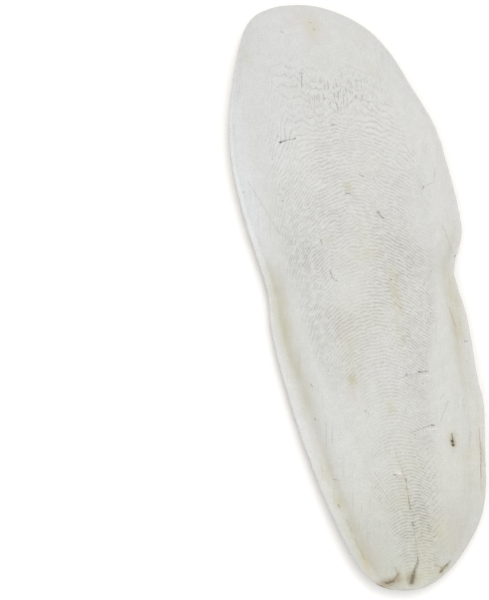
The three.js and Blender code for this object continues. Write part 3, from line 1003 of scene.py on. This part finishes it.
def chalk_material(colours, groups):
    """The belly's chalk: cream with age, bluish on its left flank and brightened there by painted light,
    darker at the head partly by painted shade, with growth-line grooves partly darkened by painted shade,
    stained, scratched and grained, with painted shadows and highlights at its cracks and chips.
    """
    material, tree = new_material("cuttlebone_chalk")
    place, plan = drawn_place(tree)

    grain = place_group(tree, groups["grain"], {"Position": place, "Size": 0.42})
    lines = {
        "Position": plan, "Phase": attribute(tree, "phase"), "Pitch": attribute(tree, "pitch"),
        "Seen": attribute(tree, "lines"), "Broken": attribute(tree, "broken"),
        "Paired": attribute(tree, "paired"), "Reach": GROOVE_REACH,
    }
    groove = place_group(tree, groups["lines"], lines)["Groove"]
    values = {"Position": plan, "Thickness": 0.5, "Length": 12, "Cover": 0.45}
    long_streak = place_group(tree, groups["streaks"], values)["Mask"]
    long_streak = times(tree, long_streak, attribute(tree, "flank"))
    values = {"Position": plan, "Thickness": 0.42, "Length": 2.8, "Cover": 0.66}
    stroke = place_group(tree, groups["streaks"], values)["Mask"]
    stroke = times(tree, stroke, attribute(tree, "strokes"))

    colour = mix_colour(tree, attribute(tree, "aged"), (*colours.chalk, 1), (*colours.cream, 1))
    # Left flank made bluish and brighter: its own tone, and painted light where it slopes away from the key
    colour = mix_colour(tree, attribute(tree, "cool_and_lit"), colour, (*colours.cool_and_lit, 1))
    # Darkening, at the head partly painted shade where its slopes face the light
    colour = mix_colour(tree, attribute(tree, "greyed_and_shaded"), colour, (*GREYING_AND_SHADE, 1), "MULTIPLY")
    tone = smooth_step(tree, grain["Tone"], 0.3, 0.7)
    shade = mix_colour(tree, tone, DULL_GRAIN, BRIGHT_GRAIN)
    colour = mix_colour(tree, 1.0, colour, shade, "MULTIPLY")
    # Grooves darkened: partly their own darker tone, partly painted shade in them
    groove_tone_and_shade = times(tree, groove, colours.line_strength)
    colour = mix_colour(tree, groove_tone_and_shade, colour, (*colours.line, 1))
    scratched = greater(tree, times(tree, long_streak, FLANK_STREAKS), stroke)
    colour = mix_colour(tree, times(tree, scratched, SCRATCHES), colour, (*colours.line, 1))

    tints = {"groove_tan": TINTS["tan"], "tan": TINTS["tan"], "pink": TINTS["pink"], "brown": TINTS["brown"]}
    for key, tint in tints.items():
        values = {"Position": place, "Share": attribute(tree, key), "Patch": 1.3}
        mask = place_group(tree, groups["stain"], values)["Mask"]
        colour = mix_colour(tree, mask, colour, (*tint, 1))

    push = vector_node(tree, "SUBTRACT", noise(tree, plan, 1.1, 2.0)["Color"], (0.5, 0.5, 0.5))
    pushed = vector_node(tree, "ADD", plan, vector_node(tree, "MULTIPLY", push, MARK_PUSH))
    # Painted highlights on the lit sides of cracks and chips
    highlight = all_marks(tree, groups["mark"], pushed, "painted highlights")
    rust = all_marks(tree, groups["mark"], pushed, "rust")
    # Dark marks: sooty dirt, and painted shadow in the cracks and at the chips
    soot_and_shadow = all_marks(tree, groups["mark"], pushed, "soot_and_shadow")
    specks = place_group(tree, groups["specks"], {"Position": plan, "Spacing": 3.6, "Radius": 0.11})["Mask"]
    specks = times(tree, times(tree, specks, attribute(tree, "lines")), SPECKS)
    soot_and_shadow = greater(tree, soot_and_shadow, specks)
    for mask, tint in ((highlight, "highlight"), (rust, "rust"), (soot_and_shadow, "soot_and_shadow")):
        colour = mix_colour(tree, mask, colour, (*TINTS[tint], 1))

    height = times(tree, grain["Height"], GRAIN_BUMP)
    for mask, depth in ((groove, LINE_BUMP), (long_streak, STREAK_BUMP), (stroke, STROKE_BUMP)):
        height = times_plus(tree, mask, -depth, height)
    finish_material(tree, colour, 0.92, height, 0.2)
    return material


def shield_material(colours, groups):
    """The back's hard shield: fine pimples and growth lines, with an amber rim of horn."""
    material, tree = new_material("cuttlebone_shield")
    place, plan = drawn_place(tree)
    grain = place_group(tree, groups["grain"], {"Position": place, "Size": 0.6})
    lines = {
        "Position": plan, "Phase": attribute(tree, "phase"), "Pitch": BACK_PITCH, "Seen": 1.0, "Reach": 0.35,
    }
    groove = place_group(tree, groups["lines"], lines)["Groove"]
    cells = {"Vector": place, "Scale": 0.85}
    from_point = add(tree, "ShaderNodeTexVoronoi", cells, feature="SMOOTH_F1").outputs[0]
    pimple = smooth_step(tree, from_point, 0.5, 0.1)

    tone = smooth_step(tree, grain["Tone"], 0.3, 0.7)
    dull = tuple(0.86 * part for part in colours.shield)
    colour = mix_colour(tree, tone, (*dull, 1), (*colours.shield, 1))
    colour = mix_colour(tree, times(tree, groove, 0.3), colour, (*colours.line, 1))
    rim = smooth_step(tree, attribute(tree, "inward"), 4.5, 0.5)
    values = {"Position": place, "Share": rim, "Patch": 2.5}
    horn = place_group(tree, groups["stain"], values)["Mask"]
    colour = mix_colour(tree, horn, colour, (*colours.horn, 1))
    mottled = place_group(tree, groups["stain"], {"Position": place, "Share": 0.45, "Patch": 11})["Mask"]
    colour = mix_colour(tree, mottled, colour, (*TINTS["tan"], 1))
    values = {"Position": place, "Share": attribute(tree, "worn"), "Patch": 3}
    worn = place_group(tree, groups["stain"], values)["Mask"]
    rubbed = times(tree, worn, 0.14)
    colour = mix_colour(tree, rubbed, colour, (*colours.chalk, 1))

    height = times(tree, grain["Height"], BACK_GRAIN_BUMP)
    pimple = times(tree, pimple, times_plus(tree, worn, -0.6, 1.0))
    for mask, depth in ((groove, BACK_LINE_BUMP), (pimple, -PIMPLE_BUMP)):
        height = times_plus(tree, mask, -depth, height)
    roughness = times_plus(tree, horn, -0.3, 0.8)
    finish_material(tree, colour, roughness, height, 0.35)
    return material


# ---------------------------------------------------------------- settings, operators and panel


class BoneSettings(bpy.types.PropertyGroup):
    """Sizes of the bone's fine relief and its colours."""

    line_depth: FloatProperty(
        name="Line depth", description="Depth of the belly's growth line grooves", default=0.00024,
        unit="LENGTH",
    )
    # How dark the grooves are painted: partly their own tone, partly painted shade
    line_strength: FloatProperty(
        name="Line strength", description="How dark the grooves are", default=0.42, min=0, max=1,
        subtype="FACTOR",
    )
    chalk: FloatVectorProperty(
        name="Chalk", description="Colour of clean chalk", default=(0.598, 0.593, 0.578), subtype="COLOR"
    )
    cream: FloatVectorProperty(
        name="Cream", description="Colour of aged chalk", default=(0.551, 0.555, 0.49), subtype="COLOR"
    )
    # The left flank's colour: its own bluish tone, made brighter as painted light where the flank slopes away
    # from the key
    cool_and_lit: FloatVectorProperty(
        name="Cool", description="Colour of the left flank", default=(0.67, 0.678, 0.682), subtype="COLOR"
    )
    # Colour in the grooves, partly their own tone and partly painted shade; the scratches take it too
    line: FloatVectorProperty(
        name="Groove", description="Colour in the grooves", default=(0.30, 0.29, 0.26), subtype="COLOR"
    )
    shield: FloatVectorProperty(
        name="Shield", description="Colour of the hard back", default=(0.56, 0.52, 0.46), subtype="COLOR"
    )
    horn: FloatVectorProperty(
        name="Horn", description="Colour of the back's rim", default=(0.30, 0.17, 0.07), subtype="COLOR"
    )


class StageSettings(bpy.types.PropertyGroup):
    """The floor, the lights and the camera."""

    lens: FloatProperty(name="Lens", description="Focal length of the camera", default=LENS, unit="CAMERA")
    sky: FloatProperty(name="Sky", description="Strength of the even light from all round", default=0.95)
    key: FloatProperty(name="Key", description="Power of the soft main light", default=12.5, unit="POWER")


class CUTTLEBONE_OT_bone(bpy.types.Operator):
    """Build the cuttlebone around its frame"""

    bl_idname = "cuttlebone.build_bone"
    bl_label = "Build bone"

    def execute(self, context):
        """Makes the bone and its materials, gives it to its body and hides the imported part of its node."""
        settings = context.scene.cuttlebone_bone
        rings, values = bone_points(settings)
        ends = np.array([self.tip(1), self.tip(-1)])
        end_values = {key: (grid[0].mean(), grid[-1].mean()) for key, grid in values.items()}
        mesh = closed_mesh("cuttlebone_surface", rings, ends, values, end_values)
        bone = bpy.data.objects.new("cuttlebone_surface", mesh)
        context.scene.collection.objects.link(bone)
        groups = {
            "lines": growth_line_group(), "grain": grain_group(), "streaks": streak_group(),
            "stain": stain_group(), "mark": mark_group(), "specks": speck_group(),
        }
        mesh.materials.append(chalk_material(settings, groups))
        mesh.materials.append(shield_material(settings, groups))
        self.dress(mesh, rings.shape)
        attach(bone, BODY)
        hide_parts(NODE)
        return {"FINISHED"}

    def tip(self, end):
        """The point that closes an end: end is 1 for the head and -1 for the tail."""
        y = end * DRAWN_LENGTH / 2
        middle, half, _, _ = station(np.array(y))
        return (float(middle), y, float(margin_height(y, half)) - REST_FLAT)

    def dress(self, mesh, shape):
        """Gives the belly columns the chalk and the back columns the hard shield."""
        rows, around = shape[:2]
        on_back = (np.arange(around) >= BELLY_COLUMNS).astype(np.int32)
        index = np.r_[np.tile(on_back, rows - 1), on_back, on_back]
        mesh.polygons.foreach_set("material_index", index)


class CUTTLEBONE_OT_stage(bpy.types.Operator):
    """Lay the pale floor and set the soft lights and the camera"""

    bl_idname = "cuttlebone.build_stage"
    bl_label = "Build stage"

    def execute(self, context):
        """Makes the floor, both lights and the camera."""
        scene, settings = context.scene, context.scene.cuttlebone_stage
        self.floor(scene)
        self.sky(scene, settings)
        self.key(scene, settings)
        self.camera(scene, settings)
        scene.view_settings.view_transform = "Standard"
        return {"FINISHED"}

    def floor(self, scene):
        """A pale floor, far wider than the view, at the resting plane."""
        corners = np.array([(-1, -1, 0), (1, -1, 0), (1, 1, 0), (-1, 1, 0)]) * FLOOR_SIDE / 2
        mesh = bpy.data.meshes.new("floor")
        mesh.from_pydata(corners.tolist(), [], [(0, 1, 2, 3)])
        floor = bpy.data.objects.new("floor", mesh)
        scene.collection.objects.link(floor)
        material = bpy.data.materials.new("floor_paper")
        material.use_nodes = True
        surface = material.node_tree.nodes["Principled BSDF"]
        surface.inputs["Base Color"].default_value = FLOOR_COLOUR
        surface.inputs["Roughness"].default_value = 1.0
        surface.inputs["Specular IOR Level"].default_value = 0.0
        mesh.materials.append(material)

    def sky(self, scene, settings):
        """Even white light from all round."""
        world = bpy.data.worlds.new("sky")
        world.use_nodes = True
        back = world.node_tree.nodes["Background"]
        back.inputs["Color"].default_value = (1, 1, 1, 1)
        back.inputs["Strength"].default_value = settings.sky
        scene.world = world

    def key(self, scene, settings):
        """A large soft light high over the bone, beyond its head end and to its right, aimed at it."""
        data = bpy.data.lights.new("key", "AREA")
        data.shape, data.size, data.energy = "DISK", KEY_SIZE, settings.key
        light = bpy.data.objects.new("key", data)
        light.location = KEY_PLACE
        light.rotation_euler = light.location.to_track_quat("Z", "Y").to_euler()
        scene.collection.objects.link(light)

    def camera(self, scene, settings):
        """A long lens straight above, turned a little so that the bone leans to the left in view."""
        data = bpy.data.cameras.new("camera")
        data.lens, data.sensor_width = settings.lens, SENSOR
        camera = bpy.data.objects.new("camera", data)
        distance = VIEW_HEIGHT * DRAWN * data.lens / data.sensor_width
        aim_x, aim_y = CAMERA_AIM
        camera.location = (aim_x * DRAWN, aim_y * DRAWN, SEEN_LEVEL * DRAWN + distance)
        camera.rotation_euler = (0, 0, math.radians(CAMERA_TURN))
        data.clip_start, data.clip_end = distance / 100, distance * 10
        scene.collection.objects.link(camera)
        scene.camera = camera


class CUTTLEBONE_PT_panel(bpy.types.Panel):
    """The sidebar panel that lists both builders and their settings"""

    bl_idname = "CUTTLEBONE_PT_panel"
    bl_label = "Cuttlebone"
    bl_space_type = "VIEW_3D"
    bl_region_type = "UI"
    bl_category = "Cuttlebone"

    def draw(self, context):
        """Lists each builder's settings over its button."""
        scene = context.scene
        builders = (
            (CUTTLEBONE_OT_bone, scene.cuttlebone_bone), (CUTTLEBONE_OT_stage, scene.cuttlebone_stage),
        )
        for operator, settings in builders:
            for key in settings.__annotations__:
                self.layout.prop(settings, key)
            self.layout.operator(operator.bl_idname)


CLASSES = (BoneSettings, StageSettings, CUTTLEBONE_OT_bone, CUTTLEBONE_OT_stage, CUTTLEBONE_PT_panel)


def register():
    """Adds the classes, and the settings to the scene."""
    for item in CLASSES:
        bpy.utils.register_class(item)
    bpy.types.Scene.cuttlebone_bone = PointerProperty(type=BoneSettings)
    bpy.types.Scene.cuttlebone_stage = PointerProperty(type=StageSettings)


def unregister():
    """Takes them away again."""
    del bpy.types.Scene.cuttlebone_stage
    del bpy.types.Scene.cuttlebone_bone
    for item in reversed(CLASSES):
        bpy.utils.unregister_class(item)


def main():
    """Builds the bone and the stage."""
    register()
    bpy.ops.cuttlebone.build_stage()
    bpy.ops.cuttlebone.build_bone()


if __name__ == "__main__":
    main()
